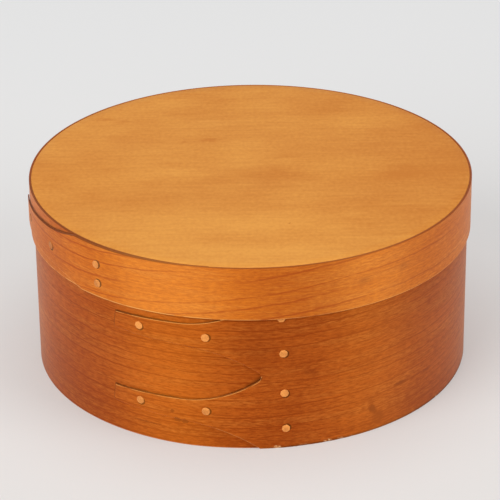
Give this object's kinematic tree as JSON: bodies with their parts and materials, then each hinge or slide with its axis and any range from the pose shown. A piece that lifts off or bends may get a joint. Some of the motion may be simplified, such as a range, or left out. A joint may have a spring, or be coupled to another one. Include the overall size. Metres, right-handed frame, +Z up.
{
  "type": "cheese box",
  "caption": "Round bentwood wooden box with a lift-off lid, lapped finger joints and flush wooden pegs.",
  "frame": {"origin": "middle of the underside, where the box rests", "axes": "+Z up out of the lid, -Y towards the front, where the body's lap is"},
  "size_m": [0.3055, 0.3048, 0.1343],
  "materials": {
    "body_cherry": "satin",
    "lid_cherry": "satin",
    "lid_wood": "satin",
    "base_wood": "matt",
    "peg_wood": "satin"
  },
  "bodies": {
    "box": {"body_band": "body_cherry", "base_board": "base_wood", "upper_finger_pegs": "peg_wood", "lower_finger_pegs": "peg_wood", "body_seam_pegs": "peg_wood"},
    "lid": {"lid_band": "lid_cherry", "lid_board": "lid_wood", "lid_finger_pegs": "peg_wood", "lid_seam_pegs": "peg_wood"}
  },
  "joints": [
    {"name": "lid_lift", "type": "slide", "parent": "box", "child": "lid", "axis": [0, 0, 1], "range_m": [0, 0.15]}
  ]
}
